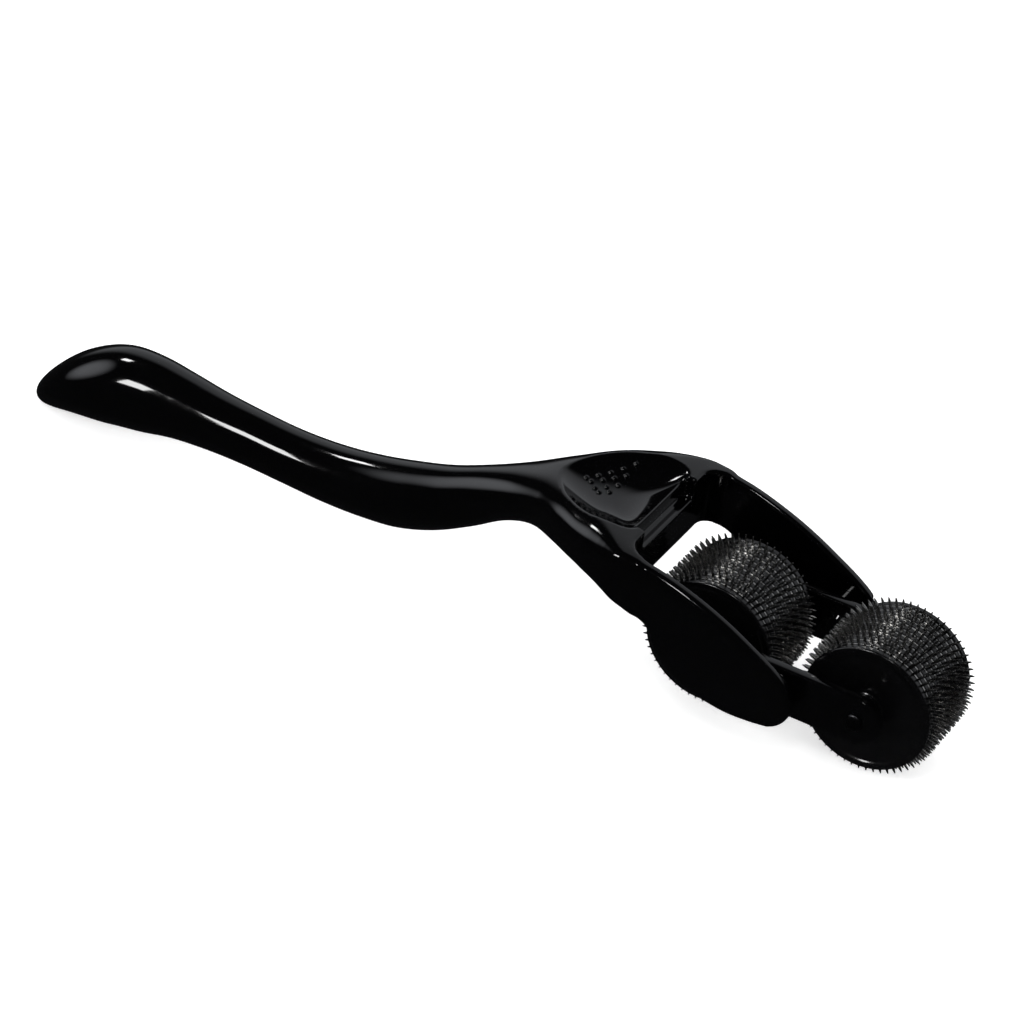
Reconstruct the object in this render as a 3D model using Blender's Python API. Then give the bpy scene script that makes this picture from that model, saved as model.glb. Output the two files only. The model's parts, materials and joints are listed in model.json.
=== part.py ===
"""Derma roller: a one-piece fork handle whose tips carry a rocking bogie with two needle rollers.

Metres, +Z up. X runs along the handle from its tail to the rollers, Y across it. The object
stands on both rollers and the tail, and the origin is on that ground, under its middle.
Side views (x, z) and plan views (x, y) are given in millimetres from the front axle's plane.
"""

import math

import bmesh
import bpy
from mathutils import Matrix

MM = 0.001

# Overall
LENGTH = 157.0
GAP = 0.1  # between faces that touch on the real object

# Rollers
TIP_RADIUS = 11.3
DRUM_RADIUS = 10.0
DRUM_HALF_LENGTH = 7.3
DISC_COUNT = 10
DISC_PITCH = 1.3
DISC_THICKNESS = 0.25
CORE_RADIUS = 6.0
AXLE_RADIUS = 1.3
BORE_RADIUS = 1.5
CAP_BEVEL = 0.5
AXLE_BEVEL = 0.3
SPACER_DROP = 0.2  # below the drum's surface
CORE_END_GAP = 0.05
DISC_SIDES = 24
CAP_SIDES = 32

# Bogie
AXLE_SPACING = 25.6
PLATE_INNER_Y = 9.2
PLATE_THICKNESS = 1.8
PLATE_HALF_HEIGHT = 3.85
AXLE_END_PROUD = 0.6
WASHER_RADIUS = 2.8
PIVOT_PIN_RADIUS = 1.6
PIVOT_HOLE_RADIUS = 1.8
PIVOT_BOSS_RADIUS = 3.2
PIVOT_PIN_PROUD = 0.4

# Fork
ARM_INNER_Y = 13.4
ARM_OUTER_Y = 15.4
OPENING_REAR_X = -37.5
OPENING_CORNER_RADIUS = 3.0
LEDGE_REAR_X = -39.5
LEDGE_HALF_WIDTH = 8.0
LEDGE_Z = 23.3
EDGE_BEVEL = 0.45
CUT_FRONT_X = 5.0  # cutters run past the handle to here, and between these heights
CUT_LOW_Z = -5.0
CUT_HIGH_Z = 40.0

# Thumb dish, an ellipsoid cut into the top of the head
DISH_CENTRE = (-47.0, 0.0, 29.6)
DISH_RADII = (11.0, 12.0, 5.6)

# Handle sections: x, half width, bottom z, top z, squareness (2 is an ellipse)
TAIL_NOSE_X = TIP_RADIUS - LENGTH
TAIL_NOSE_Z = 2.7
HANDLE_SECTIONS = (
    (TAIL_NOSE_X + 0.25, 1.3, 1.5, 3.9, 2.0),
    (TAIL_NOSE_X + 1.2, 2.8, 0.5, 5.8, 2.0),
    (-142.0, 4.1, 0.0, 8.2, 2.0),
    (-138.0, 5.5, 0.1, 11.3, 2.0),
    (-132.0, 6.3, 1.2, 14.2, 2.0),
    (-126.0, 6.0, 2.5, 14.8, 2.0),
    (-120.0, 5.3, 3.6, 14.2, 2.0),
    (-114.0, 4.8, 4.0, 13.4, 2.0),
    (-107.0, 4.4, 4.0, 12.8, 2.0),
    (-100.0, 4.4, 3.7, 12.4, 2.0),
    (-93.0, 4.6, 3.4, 12.7, 2.0),
    (-86.0, 4.8, 3.6, 13.8, 2.0),
    (-80.0, 4.9, 4.4, 15.3, 2.0),
    (-74.0, 4.7, 6.5, 17.2, 2.1),
    (-68.0, 4.5, 9.9, 19.8, 2.2),
    (-62.0, 5.1, 14.2, 22.4, 2.4),
    (-56.0, 7.3, 17.0, 25.0, 2.8),
    (-51.0, 10.4, 18.1, 26.3, 3.4),
    (-46.7, 12.8, 18.4, 26.7, 4.0),
    (-42.3, 14.5, 18.2, 26.6, 4.5),
    (-38.4, 15.3, 17.6, 26.0, 5.0),
    (-34.5, 15.4, 17.0, 25.5, 6.0),
)
SECTION_POINTS = 28

# Fork arm in side view, from the head along the top to the tip and back along the lobe
ARM_TOP = ((-39.0, 25.9), (-33.8, 25.4), (-30.3, 24.7), (-26.9, 23.7), (-23.3, 22.4),
           (-19.7, 20.8), (-16.1, 18.9), (-12.4, 16.8))
TIP_RADIUS_OF_ARM = 4.3
ARM_BOTTOM = ((-14.5, 6.9), (-18.6, 6.7), (-23.6, 7.5), (-27.0, 8.8), (-29.4, 10.6),
              (-31.4, 13.2), (-32.8, 16.2), (-36.0, 17.4), (-39.0, 18.2))

PIVOT_X = -AXLE_SPACING / 2
AXLE_Z = TIP_RADIUS
SHIFT_X = LENGTH / 2 - TIP_RADIUS  # from the front axle's plane to the object's middle
DISC_ROW_HALF = DISC_PITCH * (DISC_COUNT - 1) / 2
DRUM_STACK_HALF = DISC_ROW_HALF + DISC_THICKNESS / 2
PLATE_OUTER_Y = PLATE_INNER_Y + PLATE_THICKNESS
SIDES = (("left", 1), ("right", -1))


def clear_scene():
    for old in list(bpy.data.objects):
        bpy.data.objects.remove(old, do_unlink=True)


def make_material(name, colour, roughness, metallic):
    material = bpy.data.materials.new(name)
    material.use_nodes = True
    shader = material.node_tree.nodes["Principled BSDF"]
    shader.inputs["Base Color"].default_value = (*colour, 1.0)
    shader.inputs["Roughness"].default_value = roughness
    shader.inputs["Metallic"].default_value = metallic
    return material


def place(x, z):
    """World location in metres of a point given from the front axle's plane in millimetres."""
    return ((x + SHIFT_X) * MM, 0.0, z * MM)


def make_empty(name, location):
    empty = bpy.data.objects.new(name, None)
    bpy.context.scene.collection.objects.link(empty)
    empty.location = location
    return empty


def finish_object(name, bm, material, parent=None):
    """Turns a bmesh in millimetres, drawn round its parent's origin, into a named object."""
    bmesh.ops.scale(bm, vec=(MM, MM, MM), verts=bm.verts)
    bmesh.ops.recalc_face_normals(bm, faces=bm.faces)
    mesh = bpy.data.meshes.new(name)
    bm.to_mesh(mesh)
    bm.free()
    for polygon in mesh.polygons:
        polygon.use_smooth = True
    mesh.set_sharp_from_angle(angle=math.radians(35))
    if material is not None:
        mesh.materials.append(material)
    obj = bpy.data.objects.new(name, mesh)
    bpy.context.scene.collection.objects.link(obj)
    obj.parent = parent
    return obj


def ring_verts(bm, radius, y, sides, phase=0.0):
    """A circle of vertices about the Y axis."""
    angles = (2 * math.pi * i / sides + phase for i in range(sides))
    return [bm.verts.new((radius * math.cos(a), y, radius * math.sin(a))) for a in angles]


def turned(outer, bore, sides, phase=0.0):
    """A turned piece about Y. outer is (radius, y) from end to end; bore is a radius or None."""
    bm = bmesh.new()
    rings = [ring_verts(bm, r, y, sides, phase) for r, y in outer]
    for a, b in zip(rings, rings[1:]):
        for i in range(sides):
            bm.faces.new((a[i], a[(i + 1) % sides], b[(i + 1) % sides], b[i]))
    if bore is None:
        bm.faces.new(rings[0][::-1])
        bm.faces.new(rings[-1])
        return bm
    inner = [ring_verts(bm, bore, outer[k][1], sides, phase) for k in (0, -1)]
    for a, b in ((rings[0], inner[0]), (inner[0], inner[1]), (inner[1], rings[-1])):
        for i in range(sides):
            bm.faces.new((b[i], b[(i + 1) % sides], a[(i + 1) % sides], a[i]))
    return bm


def prism_y(points, y_low, y_high):
    """An outline in side view (x, z), extruded across the object."""
    bm = bmesh.new()
    face = bm.faces.new([bm.verts.new((x, y_low, z)) for x, z in points])
    grown = bmesh.ops.extrude_face_region(bm, geom=[face])["geom"]
    moved = [v for v in grown if isinstance(v, bmesh.types.BMVert)]
    bmesh.ops.translate(bm, verts=moved, vec=(0, y_high - y_low, 0))
    return bm


def prism_z(points, z_low, z_high):
    """An outline in plan view (x, y), extruded upwards."""
    bm = bmesh.new()
    face = bm.faces.new([bm.verts.new((x, y, z_low)) for x, y in points])
    grown = bmesh.ops.extrude_face_region(bm, geom=[face])["geom"]
    moved = [v for v in grown if isinstance(v, bmesh.types.BMVert)]
    bmesh.ops.translate(bm, verts=moved, vec=(0, 0, z_high - z_low))
    return bm


def arc(centre, radius, start, end, steps):
    """Points of an arc, angles in degrees."""
    angles = [math.radians(start + (end - start) * i / steps) for i in range(steps + 1)]
    return [(centre[0] + radius * math.cos(a), centre[1] + radius * math.sin(a))
            for a in angles]


def boolean(obj, tool, operation):
    modifier = obj.modifiers.new(tool.name, "BOOLEAN")
    modifier.object = tool
    modifier.operation = operation
    modifier.solver = "EXACT"
    tool.hide_render = True
    tool.display_type = "WIRE"


def section_loop(bm, x, half_width, z_low, z_high, squareness):
    """One closed super-elliptic section of the handle."""
    loop = []
    for i in range(SECTION_POINTS):
        angle = 2 * math.pi * i / SECTION_POINTS
        across, up = math.cos(angle), math.sin(angle)
        power = 2 / squareness
        y = half_width * math.copysign(abs(across) ** power, across)
        z = (z_high - z_low) / 2 * math.copysign(abs(up) ** power, up)
        loop.append(bm.verts.new((x, y, (z_high + z_low) / 2 + z)))
    return loop


def make_handle(material, base):
    """The handle, head and both fork arms are one moulding."""
    bm = bmesh.new()
    loops = [section_loop(bm, *section) for section in HANDLE_SECTIONS]
    for a, b in zip(loops, loops[1:]):
        for i in range(SECTION_POINTS):
            j = (i + 1) % SECTION_POINTS
            bm.faces.new((a[i], a[j], b[j], b[i]))
    nose = bm.verts.new((TAIL_NOSE_X, 0.0, TAIL_NOSE_Z))
    for i in range(SECTION_POINTS):
        bm.faces.new((loops[0][i], nose, loops[0][(i + 1) % SECTION_POINTS]))
    bm.faces.new(loops[-1])
    handle = finish_object("handle", bm, material, base)

    tip = arc((PIVOT_X, AXLE_Z), TIP_RADIUS_OF_ARM, 52, -98, 10)
    arms = finish_object("arms_tool", prism_y([*ARM_TOP, *tip, *ARM_BOTTOM], -ARM_OUTER_Y,
                                              ARM_OUTER_Y), None, base)
    edges = arms.modifiers.new("soft_edges", "BEVEL")
    edges.width = EDGE_BEVEL * MM
    edges.segments = 1
    edges.limit_method = "ANGLE"
    edges.angle_limit = math.radians(60)
    boolean(handle, arms, "UNION")

    r = OPENING_CORNER_RADIUS
    back = OPENING_REAR_X + r
    side = ARM_INNER_Y - r
    outline = [(CUT_FRONT_X, ARM_INNER_Y), *arc((back, side), r, 90, 180, 5),
               *arc((back, -side), r, 180, 270, 5), (CUT_FRONT_X, -ARM_INNER_Y)]
    opening = finish_object("opening_tool", prism_z(outline, CUT_LOW_Z, CUT_HIGH_Z), None, base)
    boolean(handle, opening, "DIFFERENCE")

    notch = [(LEDGE_REAR_X, -LEDGE_HALF_WIDTH), (OPENING_REAR_X + 1.0, -LEDGE_HALF_WIDTH),
             (OPENING_REAR_X + 1.0, LEDGE_HALF_WIDTH), (LEDGE_REAR_X, LEDGE_HALF_WIDTH)]
    ledge = finish_object("ledge_tool", prism_z(notch, LEDGE_Z, CUT_HIGH_Z), None, base)
    boolean(handle, ledge, "DIFFERENCE")

    bm = bmesh.new()
    bmesh.ops.create_icosphere(bm, subdivisions=3, radius=1.0,
                               matrix=Matrix.Translation(DISH_CENTRE)
                               @ Matrix.Diagonal((*DISH_RADII, 1.0)))
    dish = finish_object("dish_tool", bm, None, base)
    boolean(handle, dish, "DIFFERENCE")
    return handle


def make_pivot_pins(material, pivot):
    """A stud on each fork tip: a boss against the arm, and a pin through the side plate."""
    inner = PLATE_INNER_Y - PIVOT_PIN_PROUD
    boss_start = PLATE_OUTER_Y + GAP
    boss_end = ARM_INNER_Y - GAP
    for side, sign in SIDES:
        profile = [(PIVOT_PIN_RADIUS, sign * inner), (PIVOT_PIN_RADIUS, sign * boss_start),
                   (PIVOT_BOSS_RADIUS, sign * boss_start), (PIVOT_BOSS_RADIUS, sign * boss_end)]
        finish_object(f"pivot_pin_{side}", turned(profile, None, 16), material, pivot)


def make_side_plates(material, pivot):
    """Two flat links with round ends, each with a hole for both axles and one for the pivot."""
    half = AXLE_SPACING / 2
    outline = [*arc((half, 0), PLATE_HALF_HEIGHT, -90, 90, 10),
               *arc((-half, 0), PLATE_HALF_HEIGHT, 90, 270, 10)]
    holes = ((-half, BORE_RADIUS), (0.0, PIVOT_HOLE_RADIUS), (half, BORE_RADIUS))
    for side, sign in SIDES:
        low, high = sorted((sign * PLATE_INNER_Y, sign * PLATE_OUTER_Y))
        plate = finish_object(f"side_plate_{side}", prism_y(outline, low, high), material, pivot)
        for number, (x, radius) in enumerate(holes):
            bm = turned([(radius, low - 1), (radius, high + 1)], None, 16)
            bmesh.ops.translate(bm, verts=bm.verts, vec=(x, 0, 0))
            drill = finish_object(f"drill_tool_{side}_{number}", bm, None, pivot)
            boolean(plate, drill, "DIFFERENCE")


def make_axle(name, material, hub):
    end = PLATE_OUTER_Y + AXLE_END_PROUD
    profile = [(AXLE_RADIUS - AXLE_BEVEL, -end), (AXLE_RADIUS, -end + AXLE_BEVEL),
               (AXLE_RADIUS, end - AXLE_BEVEL), (AXLE_RADIUS - AXLE_BEVEL, end)]
    finish_object(f"{name}_axle", turned(profile, None, 16), material, hub)


def make_washers(name, material, hub):
    """Thin collars that keep the drum clear of the side plates."""
    for side, sign in SIDES:
        near = sign * (DRUM_HALF_LENGTH + 3 * GAP)
        far = sign * (PLATE_INNER_Y - 3 * GAP)
        profile = [(WASHER_RADIUS, near), (WASHER_RADIUS, far)]
        finish_object(f"{name}_washer_{side}", turned(profile, BORE_RADIUS, 16), material, hub)


def make_drum(name, plastic, steel, hub):
    """Needle discs and spacer rings stacked on a core sleeve between two end caps."""
    core_half = DRUM_STACK_HALF - CORE_END_GAP
    core = [(CORE_RADIUS, -core_half), (CORE_RADIUS, core_half)]
    finish_object(f"{name}_core", turned(core, BORE_RADIUS, 16), plastic, hub)

    ring_bore = CORE_RADIUS + GAP
    for k in range(DISC_COUNT):
        y = DISC_PITCH * k - DISC_ROW_HALF
        half = DISC_THICKNESS / 2
        phase = math.pi / DISC_SIDES * (k % 2)
        disc = [(TIP_RADIUS, y - half), (TIP_RADIUS, y + half)]
        finish_object(f"{name}_needle_disc_{k + 1:02d}",
                      turned(disc, ring_bore, DISC_SIDES, phase), steel, hub)

    spacer_half = (DISC_PITCH - DISC_THICKNESS) / 2 - GAP
    for k in range(DISC_COUNT - 1):
        y = DISC_PITCH * (k + 0.5) - DISC_ROW_HALF
        radius = DRUM_RADIUS - SPACER_DROP
        spacer = [(radius, y - spacer_half), (radius, y + spacer_half)]
        finish_object(f"{name}_spacer_{k + 1}", turned(spacer, ring_bore, DISC_SIDES),
                      plastic, hub)

    start, end = DRUM_STACK_HALF + GAP, DRUM_HALF_LENGTH
    for side, sign in SIDES:
        cap = [(DRUM_RADIUS, sign * start), (DRUM_RADIUS, sign * (end - CAP_BEVEL)),
               (DRUM_RADIUS - CAP_BEVEL, sign * end)]
        finish_object(f"{name}_end_cap_{side}", turned(cap, BORE_RADIUS, CAP_SIDES),
                      plastic, hub)


def main():
    clear_scene()
    black = make_material("gloss_black", (0.012, 0.012, 0.014), 0.12, 0.0)
    drum_black = make_material("drum_black", (0.02, 0.02, 0.022), 0.22, 0.0)
    dark_steel = make_material("needle_steel", (0.30, 0.30, 0.31), 0.28, 1.0)
    axle_steel = make_material("axle_steel", (0.05, 0.05, 0.055), 0.3, 1.0)

    base = make_empty("base", place(0.0, 0.0))
    pivot = make_empty("bogie_pivot", place(PIVOT_X, AXLE_Z))
    make_handle(black, base)
    make_pivot_pins(black, pivot)
    make_side_plates(black, pivot)
    for name, x in (("front", 0.0), ("rear", -AXLE_SPACING)):
        hub = make_empty(f"{name}_hub", place(x, AXLE_Z))
        make_axle(name, axle_steel, hub)
        make_washers(name, drum_black, hub)
        make_drum(name, drum_black, dark_steel, hub)


main()
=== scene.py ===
"""Looks of the derma roller: a glossy black fork handle and two needle drums in a rocking bogie.

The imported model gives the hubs, pivots, drum sizes and the handle's box. Shapes are drawn in
millimetres from the front axle's plane (x), the middle plane (y) and the ground (z).
"""

import json
import math

import bmesh
import bpy
import numpy as np
from mathutils import Matrix, Vector


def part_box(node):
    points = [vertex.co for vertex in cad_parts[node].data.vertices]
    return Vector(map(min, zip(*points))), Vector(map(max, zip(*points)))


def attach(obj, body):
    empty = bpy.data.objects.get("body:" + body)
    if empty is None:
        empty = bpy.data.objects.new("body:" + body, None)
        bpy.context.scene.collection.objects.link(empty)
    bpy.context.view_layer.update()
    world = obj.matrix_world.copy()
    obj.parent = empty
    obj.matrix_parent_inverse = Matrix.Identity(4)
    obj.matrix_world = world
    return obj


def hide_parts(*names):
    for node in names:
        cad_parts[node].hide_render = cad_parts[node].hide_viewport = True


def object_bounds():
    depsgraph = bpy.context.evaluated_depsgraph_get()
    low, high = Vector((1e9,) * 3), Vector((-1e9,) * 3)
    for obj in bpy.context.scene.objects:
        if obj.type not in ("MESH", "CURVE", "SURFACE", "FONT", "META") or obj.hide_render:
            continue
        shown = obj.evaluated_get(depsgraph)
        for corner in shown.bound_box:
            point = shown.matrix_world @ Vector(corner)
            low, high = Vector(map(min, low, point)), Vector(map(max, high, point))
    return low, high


MM = 0.001

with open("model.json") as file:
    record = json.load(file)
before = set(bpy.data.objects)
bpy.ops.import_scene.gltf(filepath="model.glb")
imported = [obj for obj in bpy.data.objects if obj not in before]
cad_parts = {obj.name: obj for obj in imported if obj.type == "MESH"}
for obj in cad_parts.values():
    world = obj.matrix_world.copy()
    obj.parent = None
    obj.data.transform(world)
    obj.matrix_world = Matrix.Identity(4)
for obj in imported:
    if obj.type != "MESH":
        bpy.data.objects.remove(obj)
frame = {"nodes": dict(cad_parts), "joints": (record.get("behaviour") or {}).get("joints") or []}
cad_low, cad_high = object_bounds()
JOINTS = {joint["name"]: Vector(joint["pos_m"]) for joint in frame["joints"]}
FRONT_HUB = JOINTS["front_roller_spin"]
REAR_HUB = JOINTS["rear_roller_spin"]
PIVOT = JOINTS["bogie_tilt"]
AXLE_Z = FRONT_HUB.z / MM
PIVOT_X = (PIVOT.x - FRONT_HUB.x) / MM

# ---------------------------------------------------------------- handle shape, millimetres
VOXEL = 0.36
GRID_MARGIN = 1.2
GRID_TAIL_MARGIN = 1.5
GRID_FRONT_X = -6.0
GRID_TOP_Z = 28.0
TINY = 1e-6
ARM_INNER_Y = 13.4
ARM_OUTER_Y = 15.4
ARM_ROOT_X = -46.0
ARM_SET_X = -38.0  # past this the arm's edges are crisp
ARM_EDGE_SOFTNESS = (6.0, 1.2)  # at ARM_ROOT_X and at ARM_SET_X
ARM_FLARE = (-0.7, 0.2)  # its side beyond the head's, at the same two places
OPENING_REAR_X = -37.6
OPENING_CORNER = 3.0
NOTCH_REAR_X = -39.5
NOTCH_HALF_WIDTH = 8.1
NOTCH_FLOOR_Z = 23.2
GRIP_OVERLAP = 2.0  # how far the grip runs on past the opening's rear edge

# Fillets
GRIP_END_FILLET = 0.8
ARM_ROOT_FILLET = 3.0
ARM_JOIN_FILLET = 2.0
OPENING_FILLET = 0.6
NOTCH_CORNER_FILLET = 1.2
NOTCH_FLOOR_FILLET = 0.8
RIM_FILLET = 0.35

# The tail closes in an ellipsoid from its bulge to its nose
TAIL_BULGE_X = -130.0
TAIL_NOSE_X = (cad_low.x - FRONT_HUB.x) / MM

# x, half width, bottom z, top z, squareness (2 is an ellipse)
SECTIONS = np.array((
    (-146.0, 6.5, -4.3, 7.0, 2.0),
    (-138.0, 6.7, 0.0, 12.0, 2.0),
    (-130.0, 6.4, 1.8, 14.7, 2.0),
    (-125.0, 5.9, 2.5, 14.9, 2.0),
    (-120.0, 5.3, 3.5, 14.3, 2.0),
    (-114.0, 4.8, 4.0, 13.4, 2.0),
    (-107.0, 4.4, 4.0, 12.8, 2.0),
    (-100.0, 4.4, 3.7, 12.4, 2.0),
    (-93.0, 4.6, 3.4, 12.7, 2.0),
    (-86.0, 4.8, 3.6, 13.8, 2.0),
    (-80.0, 4.9, 4.4, 15.3, 2.05),
    (-74.0, 4.7, 6.5, 17.2, 2.1),
    (-68.0, 4.5, 9.9, 19.8, 2.2),
    (-62.0, 5.2, 14.1, 22.5, 2.4),
    (-56.0, 7.5, 17.0, 25.1, 2.8),
    (-51.0, 10.7, 18.0, 26.5, 3.4),
    (-46.7, 13.1, 18.3, 26.9, 4.0),
    (-42.3, 14.6, 18.2, 26.8, 4.5),
    (-38.4, 15.4, 17.6, 26.1, 5.0),
    (-34.0, 15.5, 16.6, 25.5, 6.0),
))

# Fork arm in side view: along the top, round the tip, back along the lobe
ARM_TOP = ((-49.0, 26.1), (-42.0, 26.4), (-38.0, 25.9), (-33.8, 25.4), (-30.3, 24.7),
           (-26.9, 23.7), (-23.3, 22.4), (-19.7, 20.8), (-16.1, 18.9), (-12.4, 16.8),
           (-9.8, 14.9))
ARM_TIP_RADIUS = 4.3
ARM_TIP_ARC = (50, -95)  # degrees
ARM_TIP_STEPS = 14
ARM_LOBE = ((-11.4, 7.2), (-14.5, 6.8), (-18.6, 6.7), (-23.6, 7.6), (-27.0, 9.0),
            (-29.4, 10.8), (-31.2, 13.0), (-32.2, 15.2), (-34.0, 16.3), (-38.0, 17.7),
            (-42.0, 18.5), (-49.0, 18.9))

# Thumb dish
DISH_HALF_WIDTH = 9.4
DISH_CENTRE_X = -46.0
DISH_TAIL_LENGTH = 11.5
DISH_POINT = 1.5
DISH_FLOOR_Z = 23.7
DISH_FLOOR_X = -47.0
DISH_RISE = 2.7
DISH_FRONT_RISE = 2.1
DISH_CURVE = 2.6
DOT_RADIUS = 0.5
DOT_HEIGHT = 0.36
DOT_STEP_X = 1.2
SLOPE_STEP = 0.1
# Each row of dots: first x, first y, step in y, count
DOT_ROWS = ((-52.1, 1.2, 1.6, 5), (-51.2, 1.1, 1.4, 4), (-50.1, 0.3, 1.35, 3),
            (-49.2, -0.2, 1.1, 2))


def hermite(knots, values, x):
    """Smooth curve through knots, with Catmull-Rom slopes, held flat beyond its ends."""
    slopes = np.gradient(values, knots)
    x = np.clip(x, knots[0], knots[-1])
    k = np.clip(np.searchsorted(knots, x) - 1, 0, len(knots) - 2)
    width = knots[k + 1] - knots[k]
    t = (x - knots[k]) / width
    a = 2 * t**3 - 3 * t**2 + 1
    b = t**3 - 2 * t**2 + t
    return (a * values[k] + b * width * slopes[k] + (1 - a) * values[k + 1]
            + (t**3 - t**2) * width * slopes[k + 1])


def smooth_max(a, b, size):
    """The larger of two distances, with a fillet of about this size where they meet."""
    h = np.maximum(size - np.abs(a - b), 0.0) / size
    return np.maximum(a, b) + h * h * size / 4


def smooth_min(a, b, size):
    return -smooth_max(-a, -b, size)


def smooth_line(points, steps):
    """A denser line through a list of points, as a Catmull-Rom curve."""
    p = np.array([points[0], *points, points[-1]], float)
    out = []
    for i in range(1, len(p) - 2):
        for t in np.arange(steps) / steps:
            a, b, c, d = p[i - 1:i + 3]
            out.append(0.5 * (2 * b + (c - a) * t + (2 * a - 5 * b + 4 * c - d) * t**2
                              + (3 * b - a - 3 * c + d) * t**3))
    return [*out, p[-1]]


def arm_outline():
    start, end = (math.radians(a) for a in ARM_TIP_ARC)
    angles = [start + (end - start) * i / ARM_TIP_STEPS for i in range(1, ARM_TIP_STEPS)]
    tip = [(PIVOT_X + ARM_TIP_RADIUS * math.cos(a), AXLE_Z + ARM_TIP_RADIUS * math.sin(a))
           for a in angles]
    return np.array(smooth_line((*ARM_TOP, *tip, *ARM_LOBE), 4))


ARM_OUTLINE = arm_outline()


def outline_distance(x, z, outline):
    """Signed distance in side view to a closed outline, negative inside it."""
    shape = x.shape
    x, z = x.ravel(), z.ravel()
    best = np.full(x.shape, 1e9)
    inside = np.zeros(x.shape, bool)
    for (ax, az), (bx, bz) in zip(outline, np.roll(outline, -1, axis=0)):
        ex, ez = bx - ax, bz - az
        length = ex * ex + ez * ez
        if length < 1e-12:
            continue
        t = np.clip(((x - ax) * ex + (z - az) * ez) / length, 0.0, 1.0)
        best = np.minimum(best, (x - ax - t * ex) ** 2 + (z - az - t * ez) ** 2)
        crosses = (az > z) != (bz > z)
        if abs(ez) > 1e-12:
            inside ^= crosses & (x < ex * (z - az) / ez + ax)
    return (np.sqrt(best) * np.where(inside, -1.0, 1.0)).reshape(shape)


def dish_height(x, y):
    """Height of the thumb dish's surface."""
    behind = np.maximum(DISH_CENTRE_X - x, 0.0) / DISH_TAIL_LENGTH
    out = (np.abs(y / DISH_HALF_WIDTH) ** DISH_POINT + behind**DISH_POINT) ** (1 / DISH_POINT)
    ahead = np.maximum(x - DISH_FLOOR_X, 0.0) / (NOTCH_REAR_X - DISH_FLOOR_X)
    front, side = DISH_FRONT_RISE * ahead**DISH_CURVE, DISH_RISE * out**DISH_CURVE
    return DISH_FLOOR_Z + np.cbrt(front**3 + side**3)


def handle_distance(x, y, z, arm_side):
    """Distance to the handle's surface, negative inside. arm_side is the arms' side view."""
    knots = SECTIONS[:, 0]
    half, low, high, power = (hermite(knots, SECTIONS[:, c], x) for c in range(1, 5))
    rise = (high - low) / 2
    nose = np.maximum(TAIL_BULGE_X - x, 0.0) / (TAIL_BULGE_X - TAIL_NOSE_X)
    across = np.abs(y) / half + TINY
    up = np.abs(z - (high + low) / 2) / rise + TINY
    m = (across**power + up**power + nose**power) ** (1 / power)
    slope = np.sqrt((across ** (power - 1) / half) ** 2 + (up ** (power - 1) / rise) ** 2
                    + (nose ** (power - 1) / (TAIL_BULGE_X - TAIL_NOSE_X)) ** 2)
    grip = (m - 1) / (m ** (1 - power) * slope + TINY)
    grip = smooth_max(grip, x - (OPENING_REAR_X + GRIP_OVERLAP), GRIP_END_FILLET)

    softness = np.interp(x, (ARM_ROOT_X, ARM_SET_X), ARM_EDGE_SOFTNESS)
    flare = np.interp(x, (ARM_ROOT_X, ARM_SET_X), ARM_FLARE)
    side_face = np.abs(y) - np.minimum(ARM_OUTER_Y, half + flare)
    arms = smooth_max(arm_side, side_face, softness)
    arms = smooth_max(arms, ARM_ROOT_X - x, ARM_ROOT_FILLET)
    body = smooth_min(grip, arms, ARM_JOIN_FILLET)

    corner_x = np.maximum(OPENING_REAR_X + OPENING_CORNER - x, 0.0)
    corner_y = np.maximum(np.abs(y) - (ARM_INNER_Y - OPENING_CORNER), 0.0)
    opening = np.where((corner_x > 0) & (corner_y > 0),
                       np.hypot(corner_x, corner_y) - OPENING_CORNER,
                       np.maximum(OPENING_REAR_X - x, np.abs(y) - ARM_INNER_Y))
    body = smooth_max(body, -opening, OPENING_FILLET)

    notch = smooth_max(NOTCH_REAR_X - x, np.abs(y) - NOTCH_HALF_WIDTH, NOTCH_CORNER_FILLET)
    notch = smooth_max(notch, NOTCH_FLOOR_Z - z, NOTCH_FLOOR_FILLET)
    body = smooth_max(body, -notch, RIM_FILLET)
    return smooth_max(body, z - dish_height(x, y), RIM_FILLET)


def handle_at(points):
    x, y, z = points.T
    return handle_distance(x, y, z, outline_distance(x, z, ARM_OUTLINE))


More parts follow.
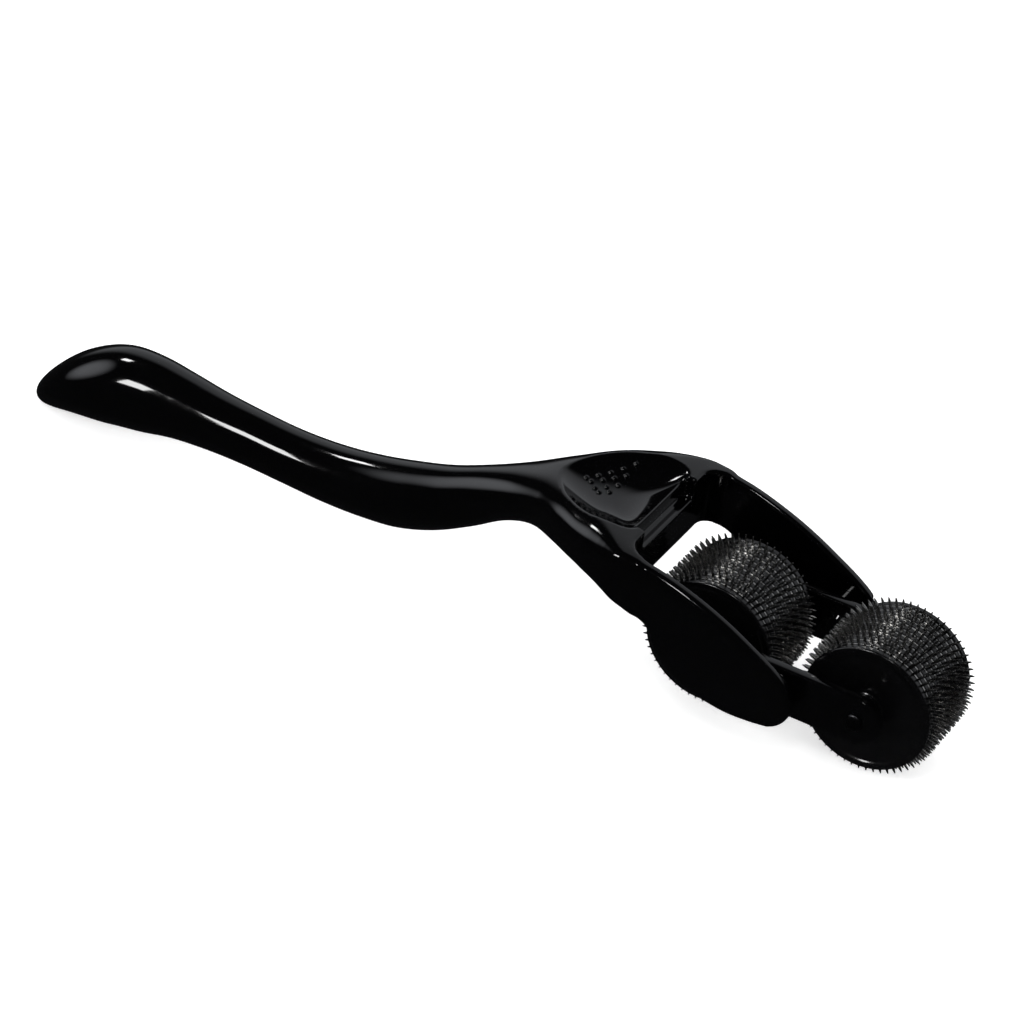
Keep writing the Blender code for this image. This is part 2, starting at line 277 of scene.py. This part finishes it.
def grid_surface(values, origin, size):
    """Points and quads of the surface where values change sign: one point in each crossed cell."""
    inside = values < 0
    shape = np.array(values.shape)
    corners = [(i, j, k) for i in (0, 1) for j in (0, 1) for k in (0, 1)]
    count = np.zeros(shape - 1, int)
    for i, j, k in corners:
        count += inside[i:shape[0] - 1 + i, j:shape[1] - 1 + j, k:shape[2] - 1 + k]
    cells = np.argwhere((count > 0) & (count < 8))
    number = np.full(shape - 1, -1)
    number[tuple(cells.T)] = np.arange(len(cells))
    total, hits = np.zeros((len(cells), 3)), np.zeros(len(cells))
    for a in corners:
        for axis in range(3):
            if a[axis]:
                continue
            b = tuple(1 if n == axis else a[n] for n in range(3))
            va = values[tuple((cells + a).T)]
            vb = values[tuple((cells + b).T)]
            crossed = (va < 0) != (vb < 0)
            t = np.where(crossed, va / np.where(crossed, va - vb, 1.0), 0.0)
            point = cells + a + t[:, None] * (np.array(b) - a)
            total += point * crossed[:, None]
            hits += crossed
    points = origin + size * total / hits[:, None]
    quads = []
    for axis in range(3):
        low = [slice(None)] * 3
        high = [slice(None)] * 3
        low[axis], high[axis] = slice(0, -1), slice(1, None)
        changed = inside[tuple(low)] != inside[tuple(high)]
        edges = np.argwhere(changed)
        u, v = (axis + 1) % 3, (axis + 2) % 3
        edges = edges[(edges[:, u] > 0) & (edges[:, v] > 0) & (edges[:, u] < shape[u] - 1)
                      & (edges[:, v] < shape[v] - 1)]
        ring = []
        for du, dv in ((1, 1), (0, 1), (0, 0), (1, 0)):
            cell = edges.copy()
            cell[:, u] -= du
            cell[:, v] -= dv
            ring.append(number[tuple(cell.T)])
        ring = np.stack(ring, 1)
        outward = inside[tuple(edges.T)]
        quads.append(np.where(outward[:, None], ring, ring[:, ::-1]))
    return points, np.concatenate(quads)


def slope_at(points):
    """Gradient of the handle's distance."""
    step = 0.02
    out = np.zeros_like(points)
    for axis in range(3):
        move = np.zeros(3)
        move[axis] = step
        out[:, axis] = (handle_at(points + move) - handle_at(points - move)) / (2 * step)
    return out


def onto_surface(points):
    gradient = slope_at(points)
    length = np.maximum((gradient**2).sum(1), 0.05)
    move = gradient * (handle_at(points) / length)[:, None]
    reach = np.linalg.norm(move, axis=1)
    return points - move * np.minimum(1.0, VOXEL / np.maximum(reach, 1e-9))[:, None]


def relaxed(points, quads):
    """Each point moved halfway to the middle of its neighbours."""
    total, hits = np.zeros_like(points), np.zeros(len(points))
    for a, b in ((0, 1), (1, 2), (2, 3), (3, 0)):
        np.add.at(total, quads[:, a], points[quads[:, b]])
        np.add.at(hits, quads[:, a], 1)
    return points + 0.5 * (total / hits[:, None] - points)


def handle_mesh():
    """Points, quads and normals of the handle, from a grid that is centred across it."""
    low = np.array([TAIL_NOSE_X - GRID_TAIL_MARGIN, -ARM_OUTER_Y - GRID_MARGIN, -GRID_MARGIN])
    high = np.array([GRID_FRONT_X, ARM_OUTER_Y + GRID_MARGIN, GRID_TOP_Z])
    count = np.ceil((high - low) / VOXEL).astype(int) + 1
    low[1] = -(count[1] - 1) / 2 * VOXEL
    axes = [low[n] + VOXEL * np.arange(count[n]) for n in range(3)]
    side = outline_distance(*np.meshgrid(axes[0], axes[2], indexing="ij"), ARM_OUTLINE)
    values = handle_distance(axes[0][:, None, None], axes[1][None, :, None],
                             axes[2][None, None, :], side[:, None, :])
    points, quads = grid_surface(values, low, VOXEL)
    for _ in range(3):
        points = onto_surface(relaxed(points, quads))
    for _ in range(3):
        points = onto_surface(points)
    normals = slope_at(points)
    return points, quads, normals / np.linalg.norm(normals, axis=1)[:, None]


# ---------------------------------------------------------------- building blocks
def add_object(name, mesh, material, body, node):
    """A finished piece on its body. node is the CAD node it replaces, or None."""
    mesh.materials.append(material)
    obj = bpy.data.objects.new(name, mesh)
    bpy.context.scene.collection.objects.link(obj)
    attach(obj, body)
    if node is not None:
        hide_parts(node)


def mesh_from(name, bm, centre=(0, 0, 0), sharp=40):
    """A bmesh in millimetres becomes a smooth-shaded mesh in metres, moved to its centre."""
    bmesh.ops.recalc_face_normals(bm, faces=bm.faces)
    bm.transform(Matrix.Translation(centre) @ Matrix.Diagonal((MM, MM, MM, 1)))
    mesh = bpy.data.meshes.new(name)
    bm.to_mesh(mesh)
    bm.free()
    mesh.shade_smooth()
    mesh.set_sharp_from_angle(angle=math.radians(sharp))
    return mesh


def turned_rings(bm, profile, sides):
    """A circle of vertices about the Y axis for each (radius, y) of a profile."""
    angles = [2 * math.pi * i / sides for i in range(sides)]
    return [[bm.verts.new((radius * math.cos(a), y, radius * math.sin(a))) for a in angles]
            for radius, y in profile]


def join_rings(bm, a, b):
    sides = len(a)
    for i in range(sides):
        j = (i + 1) % sides
        bm.faces.new((a[i], a[j], b[j], b[i]))


def lathe(profile, sides=128):
    """A closed (radius, y) profile turned about the Y axis."""
    bm = bmesh.new()
    rings = turned_rings(bm, profile, sides)
    for a, b in zip(rings, rings[1:] + rings[:1]):
        join_rings(bm, a, b)
    return bm


def solid_lathe(profile, sides=64):
    """An open (radius, y) profile turned about Y, with both ends closed."""
    bm = bmesh.new()
    rings = turned_rings(bm, profile, sides)
    for a, b in zip(rings, rings[1:]):
        join_rings(bm, a, b)
    bm.faces.new(rings[0])
    bm.faces.new(rings[-1])
    return bm


def rounded(corners, radius, steps=5):
    """A closed profile with each corner replaced by an arc of this radius."""
    out = []
    count = len(corners)
    for i, corner in enumerate(corners):
        here = Vector(corner)
        back = (Vector(corners[i - 1]) - here)
        on = (Vector(corners[(i + 1) % count]) - here)
        cut = min(radius, back.length * 0.45, on.length * 0.45)
        a, b = here + back.normalized() * cut, here + on.normalized() * cut
        for k in range(steps + 1):
            t = k / steps
            out.append(tuple(a * (1 - t) ** 2 + here * 2 * t * (1 - t) + b * t**2))
    return out


# ---------------------------------------------------------------- materials
def new_material(name):
    material = bpy.data.materials.new(name)
    material.use_nodes = True
    nodes = material.node_tree.nodes
    return material, nodes, material.node_tree.links, nodes["Principled BSDF"]


def noise(nodes, links, coordinates, scale, detail=3.0, stretch=None):
    texture = nodes.new("ShaderNodeTexNoise")
    texture.inputs["Scale"].default_value = scale
    texture.inputs["Detail"].default_value = detail
    source = coordinates.outputs["Object"]
    if stretch is not None:
        mapping = nodes.new("ShaderNodeMapping")
        mapping.inputs["Scale"].default_value = stretch
        links.new(source, mapping.inputs["Vector"])
        source = mapping.outputs["Vector"]
    links.new(source, texture.inputs["Vector"])
    return texture


def ramp(nodes, links, source, low, high, start=0.3, end=0.7):
    """Maps a texture's value onto a range of numbers."""
    span = nodes.new("ShaderNodeMapRange")
    span.inputs["From Min"].default_value = start
    span.inputs["From Max"].default_value = end
    span.inputs["To Min"].default_value = low
    span.inputs["To Max"].default_value = high
    links.new(source, span.inputs["Value"])
    return span.outputs["Result"]


def colour_mix(nodes, links, factor, first, second):
    mix = nodes.new("ShaderNodeMix")
    mix.data_type = "RGBA"
    mix.inputs["A"].default_value = (*first, 1)
    mix.inputs["B"].default_value = (*second, 1)
    links.new(factor, mix.inputs["Factor"])
    return mix.outputs["Result"]


def bump(nodes, links, height, strength, distance, shader):
    node = nodes.new("ShaderNodeBump")
    node.inputs["Strength"].default_value = strength
    node.inputs["Distance"].default_value = distance
    links.new(height, node.inputs["Height"])
    links.new(node.outputs["Normal"], shader.inputs["Normal"])


def gloss_plastic(name, dark, light, smooth, rough, ripple):
    """Injection-moulded gloss plastic: faint flow marks, slight haze and a shallow ripple."""
    material, nodes, links, shader = new_material(name)
    coordinates = nodes.new("ShaderNodeTexCoord")
    flow = noise(nodes, links, coordinates, 55.0, 2.0, (0.35, 1.0, 1.0))
    haze = noise(nodes, links, coordinates, 900.0, 4.0)
    colour = colour_mix(nodes, links, ramp(nodes, links, flow.outputs["Fac"], 0, 1), dark, light)
    links.new(colour, shader.inputs["Base Color"])
    links.new(ramp(nodes, links, haze.outputs["Fac"], smooth, rough), shader.inputs["Roughness"])
    shader.inputs["IOR"].default_value = 1.5
    shader.inputs["Coat Weight"].default_value = 0.35
    shader.inputs["Coat Roughness"].default_value = 0.05
    wave = noise(nodes, links, coordinates, 160.0, 1.0)
    bump(nodes, links, wave.outputs["Fac"], ripple, 0.00004, shader)
    return material


def needle_steel(name):
    """Dark plated steel with fine etched grain and brighter worn patches."""
    material, nodes, links, shader = new_material(name)
    coordinates = nodes.new("ShaderNodeTexCoord")
    patches = noise(nodes, links, coordinates, 700.0, 3.0)
    grain = noise(nodes, links, coordinates, 9000.0, 2.0)
    colour = colour_mix(nodes, links, ramp(nodes, links, patches.outputs["Fac"], 0, 1),
                        (0.26, 0.257, 0.25), (0.70, 0.69, 0.67))
    links.new(colour, shader.inputs["Base Color"])
    links.new(ramp(nodes, links, grain.outputs["Fac"], 0.14, 0.28), shader.inputs["Roughness"])
    shader.inputs["Metallic"].default_value = 1.0
    bump(nodes, links, grain.outputs["Fac"], 0.25, 0.00002, shader)
    return material


def axle_steel(name):
    """Blackened turned steel, with rings left by the lathe."""
    material, nodes, links, shader = new_material(name)
    coordinates = nodes.new("ShaderNodeTexCoord")
    turned = noise(nodes, links, coordinates, 4000.0, 2.0, (1.0, 12.0, 1.0))
    colour = colour_mix(nodes, links, ramp(nodes, links, turned.outputs["Fac"], 0, 1),
                        (0.035, 0.035, 0.038), (0.09, 0.09, 0.095))
    links.new(colour, shader.inputs["Base Color"])
    links.new(ramp(nodes, links, turned.outputs["Fac"], 0.2, 0.4), shader.inputs["Roughness"])
    shader.inputs["Metallic"].default_value = 1.0
    bump(nodes, links, turned.outputs["Fac"], 0.2, 0.00002, shader)
    return material


def floor_material():
    material, nodes, links, shader = new_material("studio_floor")
    coordinates = nodes.new("ShaderNodeTexCoord")
    mottle = noise(nodes, links, coordinates, 3.0, 2.0)
    colour = colour_mix(nodes, links, ramp(nodes, links, mottle.outputs["Fac"], 0, 1),
                        (0.88, 0.88, 0.88), (0.9, 0.9, 0.9))
    links.new(colour, shader.inputs["Base Color"])
    shader.inputs["Roughness"].default_value = 0.9
    shader.inputs["Specular IOR Level"].default_value = 0.1
    shader.inputs["Emission Color"].default_value = (1, 1, 1, 1)
    shader.inputs["Emission Strength"].default_value = 0.55
    return material


HANDLE_BLACK = gloss_plastic("handle_gloss_black", (0.0003, 0.0003, 0.0004),
                             (0.0008, 0.0008, 0.0010), 0.06, 0.10, 0.12)
DRUM_BLACK = gloss_plastic("drum_gloss_black", (0.0008, 0.0008, 0.001),
                           (0.002, 0.002, 0.0023), 0.14, 0.24, 0.2)
NEEDLE_STEEL = needle_steel("needle_plated_steel")
AXLE_STEEL = axle_steel("axle_black_steel")


# ---------------------------------------------------------------- pieces
def make_handle():
    points, quads, normals = handle_mesh()
    offset = np.array([FRONT_HUB.x / MM, 0.0, 0.0])
    mesh = bpy.data.meshes.new("handle_shell")
    mesh.from_pydata(((points + offset) * MM).tolist(), [], quads.tolist())
    mesh.shade_smooth()
    mesh.normals_split_custom_set_from_vertices(normals.tolist())
    add_object("handle_shell", mesh, HANDLE_BLACK, "handle", "handle")


def make_dots():
    """Grip dots: four short slanted rows on the far side of the thumb dish."""
    bm = bmesh.new()
    for first_x, first_y, step_y, count in DOT_ROWS:
        for i in range(count):
            x, y = first_x + DOT_STEP_X * i, first_y + step_y * i
            centre = Vector((x, y, float(dish_height(x, y))))
            ahead = float(dish_height(x + SLOPE_STEP, y)) - centre.z
            beside = float(dish_height(x, y + SLOPE_STEP)) - centre.z
            normal = Vector((-ahead, -beside, SLOPE_STEP)).normalized()
            turn = normal.to_track_quat("Z", "Y").to_matrix().to_4x4()
            shape = Matrix.Diagonal((DOT_RADIUS, DOT_RADIUS, DOT_HEIGHT, 1))
            bmesh.ops.create_icosphere(bm, subdivisions=3, radius=1.0,
                                       matrix=Matrix.Translation(centre) @ turn @ shape)
    mesh = mesh_from("thumb_grip_dots", bm, (FRONT_HUB.x, 0, 0), 180)
    add_object("thumb_grip_dots", mesh, HANDLE_BLACK, "handle", None)


NEEDLE_COUNT = 60
# Radius and half width of a needle, from its root up; the tip's radius is the disc's
NEEDLE_ROOT = (9.4, 0.22)
NEEDLE_FOOT = (9.9, 0.18)
NEEDLE_SHOULDER = (0.55, 0.15)  # this far below the tip
NEEDLE_TIP_HALF_WIDTH = 0.08
NEEDLE_TIP_THINNING = 0.3
TIP_ZONE = 0.05
ROW_SHIFT = 0.55  # of half a needle's pitch, so that the rows run in waves
ROW_WAVE = 1.7

RING_BORE = 6.2
RING_RADIUS = 9.95
RING_OVERLAP = 0.06
RING_ROUNDING = 0.22
CAP_BORE = 1.55
CAP_HUB_RADIUS = 2.4
CAP_HUB_FOOT = 2.7
CAP_RIM_FOOT = 8.7
CAP_RIM_INNER = 9.1
CAP_HUB_DROP = 0.1
CAP_FACE_DROP = 0.35
CAP_ROUNDING = 0.35

PLATE_ARC_STEPS = 32
PLATE_ROUNDING = 0.35
AXLE_DOME = 0.35
COLLAR_BORE = 1.5
COLLAR_ROUNDING = 0.2
STUD_RADIUS = 1.6
STUD_TIP = 0.4
STUD_BOSS_ROUNDING = 0.3
STUD_CLEARANCE = 0.1
SIDES = (("left", 1), ("right", -1))


def needle_disc_mesh(name, radius, half, centre, phase):
    """The outer ring of a stamped disc, with its tapered needles."""
    stations = (NEEDLE_ROOT, NEEDLE_FOOT, (radius - NEEDLE_SHOULDER[0], NEEDLE_SHOULDER[1]),
                (radius, NEEDLE_TIP_HALF_WIDTH))
    bm = bmesh.new()
    rows = []
    for i in range(NEEDLE_COUNT):
        middle = 2 * math.pi * i / NEEDLE_COUNT + phase
        pair = []
        for r, width in stations:
            for sign in (-1, 1):
                a = middle + sign * width / r
                pair.append(bm.verts.new((r * math.cos(a), -half, r * math.sin(a))))
        rows.append(pair)
    for i, row in enumerate(rows):
        after = rows[(i + 1) % NEEDLE_COUNT]
        for k in (0, 2, 4):
            bm.faces.new((row[k], row[k + 1], row[k + 3], row[k + 2]))
        bm.faces.new((row[1], after[0], after[2], row[3]))
    grown = bmesh.ops.extrude_face_region(bm, geom=list(bm.faces))["geom"]
    for v in grown:
        if isinstance(v, bmesh.types.BMVert):
            v.co.y = half
    for v in bm.verts:
        if math.hypot(v.co.x, v.co.z) > radius - TIP_ZONE:
            v.co.y *= NEEDLE_TIP_THINNING
    return mesh_from(name, bm, centre, 35)


def make_drum(name, hub):
    """Needle rows, the rings between them and the end caps, on one hub."""
    body = f"{name}_roller"
    first_low, first_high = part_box(f"{name}_needle_disc_01")
    tip_radius = (first_high.z - first_low.z) / 2 / MM
    for number in range(1, 11):
        node = f"{name}_needle_disc_{number:02d}"
        low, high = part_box(node)
        centre = (hub.x, (low.y + high.y) / 2, hub.z)
        phase = math.pi / NEEDLE_COUNT * ROW_SHIFT * math.sin(ROW_WAVE * number)
        piece = f"{name}_needle_row_{number:02d}"
        mesh = needle_disc_mesh(piece, tip_radius, (high.y - low.y) / 2 / MM, centre, phase)
        add_object(piece, mesh, NEEDLE_STEEL, body, node)
    for number in range(1, 10):
        node = f"{name}_spacer_{number}"
        low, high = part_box(node)
        half = (high.y - low.y) / 2 / MM + RING_OVERLAP
        ring = rounded([(RING_BORE, -half), (RING_RADIUS, -half), (RING_RADIUS, half),
                        (RING_BORE, half)], RING_ROUNDING)
        piece = f"{name}_drum_ring_{number}"
        mesh = mesh_from(piece, lathe(ring), (hub.x, (low.y + high.y) / 2, hub.z))
        add_object(piece, mesh, DRUM_BLACK, body, node)
    for side, sign in SIDES:
        node = f"{name}_end_cap_{side}"
        low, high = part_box(node)
        near, far = sorted((abs(low.y / MM), abs(high.y / MM)))
        radius = (high.z - low.z) / 2 / MM
        face = [(CAP_BORE, far - CAP_HUB_DROP), (CAP_HUB_RADIUS, far - CAP_HUB_DROP),
                (CAP_HUB_FOOT, far - CAP_FACE_DROP), (CAP_RIM_FOOT, far - CAP_FACE_DROP),
                (CAP_RIM_INNER, far), (radius, far), (radius, near), (CAP_BORE, near)]
        profile = [(r, sign * y) for r, y in rounded(face, CAP_ROUNDING)]
        piece = f"{name}_cap_{side}"
        mesh = mesh_from(piece, lathe(profile), (hub.x, 0, hub.z))
        add_object(piece, mesh, DRUM_BLACK, body, node)
    core = frame["nodes"][f"{name}_core"]
    core.data.materials.clear()
    core.data.materials.append(DRUM_BLACK)


def make_plates():
    """Side plates: flat links with round ends and softened edges. The pins run into them."""
    for side, _ in SIDES:
        node = f"side_plate_{side}"
        low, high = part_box(node)
        half_height = (high.z - low.z) / 2 / MM
        half_length = (FRONT_HUB.x - REAR_HUB.x) / 2 / MM
        bm = bmesh.new()
        outline = []
        for centre, start in ((half_length, -90), (-half_length, 90)):
            for i in range(PLATE_ARC_STEPS + 1):
                a = math.radians(start + 180 * i / PLATE_ARC_STEPS)
                outline.append((centre + half_height * math.cos(a), half_height * math.sin(a)))
        face = bm.faces.new([bm.verts.new((x, low.y / MM, z)) for x, z in outline])
        grown = bmesh.ops.extrude_face_region(bm, geom=[face])["geom"]
        for v in grown:
            if isinstance(v, bmesh.types.BMVert):
                v.co.y = high.y / MM
        bmesh.ops.recalc_face_normals(bm, faces=bm.faces)
        rim = [e for e in bm.edges if e.calc_face_angle(0) > math.radians(60)]
        bmesh.ops.bevel(bm, geom=rim, offset=PLATE_ROUNDING, segments=3, profile=0.5,
                        affect="EDGES")
        mesh = mesh_from(f"link_plate_{side}", bm, (PIVOT.x, 0, PIVOT.z))
        add_object(f"link_plate_{side}", mesh, HANDLE_BLACK, "bogie", node)


def make_axles():
    """Axle pins with domed ends, and the collars that keep the drums off the plates."""
    for name, hub in (("front", FRONT_HUB), ("rear", REAR_HUB)):
        low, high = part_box(f"{name}_axle")
        radius = (high.z - low.z) / 2 / MM
        end = high.y / MM
        angles = [math.radians(a) for a in (8, 30, 50, 70, 90)]
        dome = [(radius * math.sin(a), end - AXLE_DOME * (1 - math.cos(a))) for a in angles]
        profile = [*dome, *[(r, -y) for r, y in dome[::-1]]]
        mesh = mesh_from(f"{name}_axle_pin", solid_lathe(profile), (hub.x, 0, hub.z))
        add_object(f"{name}_axle_pin", mesh, AXLE_STEEL, "bogie", f"{name}_axle")
        for side, sign in SIDES:
            node = f"{name}_washer_{side}"
            low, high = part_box(node)
            near, far = sorted((abs(low.y / MM), abs(high.y / MM)))
            outer = (high.z - low.z) / 2 / MM
            ring = rounded([(COLLAR_BORE, near), (outer, near), (outer, far),
                            (COLLAR_BORE, far)], COLLAR_ROUNDING)
            collar = lathe([(r, sign * y) for r, y in ring], 64)
            mesh = mesh_from(f"{name}_collar_{side}", collar, (hub.x, 0, hub.z))
            add_object(f"{name}_collar_{side}", mesh, DRUM_BLACK, "bogie", node)


def make_pivot_studs():
    for side, sign in SIDES:
        node = f"pivot_pin_{side}"
        low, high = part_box(node)
        near, far = sorted((abs(low.y / MM), abs(high.y / MM)))
        boss = (high.z - low.z) / 2 / MM
        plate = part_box(f"side_plate_{side}")
        clear = max(abs(plate[0].y), abs(plate[1].y)) / MM + STUD_CLEARANCE
        profile = [(STUD_RADIUS - STUD_TIP, near), (STUD_RADIUS, near + STUD_TIP),
                   (STUD_RADIUS, clear), (boss - STUD_BOSS_ROUNDING, clear),
                   (boss, clear + STUD_BOSS_ROUNDING), (boss, far)]
        mesh = mesh_from(f"pivot_stud_{side}", solid_lathe([(r, sign * y) for r, y in profile]),
                         (PIVOT.x, 0, PIVOT.z))
        add_object(f"pivot_stud_{side}", mesh, HANDLE_BLACK, "handle", node)


# ---------------------------------------------------------------- studio
CAMERA_AZIMUTH = math.radians(24.24)
CAMERA_ELEVATION = math.radians(34.09)
CAMERA_ROLL = math.radians(8.42)
CAMERA_DISTANCE = 0.7
CAMERA_LENS = 165.8
CAMERA_TARGET = Vector((FRONT_HUB.x - 62.6 * MM, 0.0, 14.24 * MM))
FLOOR_LIGHT = 0.9
SIDE_GLOW = (-0.87, -0.16, 0.46)
LIGHT_AIM_Z = 0.012
FLOOR_DROP = 0.00005
SWEEP_SIDES = 96
SWEEP_START = 2.2
SWEEP_RADIUS = 0.8


def make_camera():
    data = bpy.data.cameras.new("camera")
    data.lens = CAMERA_LENS
    data.sensor_width = 36.0
    data.clip_start, data.clip_end = 0.01, 30.0
    camera = bpy.data.objects.new("camera", data)
    bpy.context.scene.collection.objects.link(camera)
    bpy.context.scene.camera = camera
    back = Vector((math.sin(CAMERA_AZIMUTH) * math.cos(CAMERA_ELEVATION),
                   -math.cos(CAMERA_AZIMUTH) * math.cos(CAMERA_ELEVATION),
                   math.sin(CAMERA_ELEVATION)))
    level = Vector((math.cos(CAMERA_AZIMUTH), math.sin(CAMERA_AZIMUTH), 0.0))
    upright = back.cross(level)
    right = level * math.cos(CAMERA_ROLL) + upright * math.sin(CAMERA_ROLL)
    up = -level * math.sin(CAMERA_ROLL) + upright * math.cos(CAMERA_ROLL)
    camera.matrix_world = Matrix.Translation(CAMERA_TARGET + back * CAMERA_DISTANCE) @ Matrix(
        (right, up, back)).transposed().to_4x4()


def softbox(name, azimuth, elevation, distance, size, radiance):
    """A soft light that hangs in this direction (degrees) from the object and faces it."""
    data = bpy.data.lights.new(name, "AREA")
    data.shape = "RECTANGLE"
    data.size, data.size_y = size
    data.energy = radiance * math.pi * size[0] * size[1]
    light = bpy.data.objects.new(name, data)
    bpy.context.scene.collection.objects.link(light)
    a, e = math.radians(azimuth), math.radians(elevation)
    towards = Vector((math.cos(a) * math.cos(e), math.sin(a) * math.cos(e), math.sin(e)))
    light.location = towards * distance + Vector((0, 0, LIGHT_AIM_Z))
    light.rotation_mode = "QUATERNION"
    light.rotation_quaternion = towards.to_track_quat("Z", "Y")
    light.visible_camera = False
    return light


def studio_backdrop(world):
    """A dim grey backdrop behind the object and a soft glow on its left, dark elsewhere."""
    nodes, links = world.node_tree.nodes, world.node_tree.links
    coordinates = nodes.new("ShaderNodeTexCoord")
    split = nodes.new("ShaderNodeSeparateXYZ")
    links.new(coordinates.outputs["Generated"], split.inputs["Vector"])
    spans = []
    for axis, start, end, high in (("Y", 0.5, 0.72, 0.36), ("Z", -0.05, 0.12, 1.0)):
        span = nodes.new("ShaderNodeMapRange")
        span.interpolation_type = "SMOOTHSTEP"
        span.inputs["From Min"].default_value = start
        span.inputs["From Max"].default_value = end
        span.inputs["To Min"].default_value = 0.0
        span.inputs["To Max"].default_value = high
        links.new(split.outputs[axis], span.inputs["Value"])
        spans.append(span.outputs["Result"])
    product = nodes.new("ShaderNodeMath")
    product.operation = "MULTIPLY"
    links.new(spans[0], product.inputs[0])
    links.new(spans[1], product.inputs[1])
    aim = nodes.new("ShaderNodeVectorMath")
    aim.operation = "DOT_PRODUCT"
    aim.inputs[1].default_value = SIDE_GLOW
    links.new(coordinates.outputs["Generated"], aim.inputs[0])
    glow = nodes.new("ShaderNodeMapRange")
    glow.interpolation_type = "SMOOTHSTEP"
    glow.inputs["From Min"].default_value = 0.9
    glow.inputs["From Max"].default_value = 1.0
    glow.inputs["To Max"].default_value = 1.2
    links.new(aim.outputs["Value"], glow.inputs["Value"])
    both = nodes.new("ShaderNodeMath")
    links.new(product.outputs["Value"], both.inputs[0])
    links.new(glow.outputs["Result"], both.inputs[1])
    base = nodes.new("ShaderNodeMath")
    base.inputs[1].default_value = 0.012
    links.new(both.outputs["Value"], base.inputs[0])
    background = nodes["Background"]
    background.inputs["Color"].default_value = (0.92, 0.95, 1.0, 1)
    links.new(base.outputs["Value"], background.inputs["Strength"])


def make_studio():
    """A pale round floor that curves up into a wall, the backdrop and the soft lights."""
    bm = bmesh.new()
    sides = SWEEP_SIDES
    profile = [(0.4, 0.0), (1.2, 0.0), (SWEEP_START, 0.0)]
    for degrees in range(15, 91, 15):
        a = math.radians(degrees)
        profile.append((SWEEP_START + SWEEP_RADIUS * math.sin(a),
                        SWEEP_RADIUS - SWEEP_RADIUS * math.cos(a)))
    profile.append((3.0, 2.6))
    rings = [[bm.verts.new((r * math.cos(2 * math.pi * i / sides),
                            r * math.sin(2 * math.pi * i / sides), z - FLOOR_DROP))
              for i in range(sides)] for r, z in profile]
    bm.faces.new(rings[0])
    for a, b in zip(rings, rings[1:]):
        for i in range(sides):
            j = (i + 1) % sides
            bm.faces.new((a[j], a[i], b[i], b[j]))
    mesh = bpy.data.meshes.new("studio_sweep")
    bm.to_mesh(mesh)
    bm.free()
    mesh.shade_smooth()
    mesh.materials.append(floor_material())
    floor = bpy.data.objects.new("studio_sweep", mesh)
    bpy.context.scene.collection.objects.link(floor)
    floor.visible_glossy = False

    world = bpy.data.worlds.new("studio")
    bpy.context.scene.world = world
    world.use_nodes = True
    studio_backdrop(world)
    fill = softbox("floor_fill", 90, 86, 1.9, (2.6, 2.6), FLOOR_LIGHT)
    fill.visible_glossy = False
    softbox("window_near", -116, 34, 0.9, (0.17, 0.20), 15.0)
    softbox("glint_near", -77, 53, 0.9, (0.12, 0.12), 16.0)
    softbox("glint_back", 160, 50, 0.9, (0.10, 0.12), 16.0)
    bpy.context.scene.view_settings.view_transform = "Standard"


def main():
    make_camera()
    make_handle()
    make_dots()
    for name, hub in (("front", FRONT_HUB), ("rear", REAR_HUB)):
        make_drum(name, hub)
    make_plates()
    make_axles()
    make_pivot_studs()
    make_studio()


main()
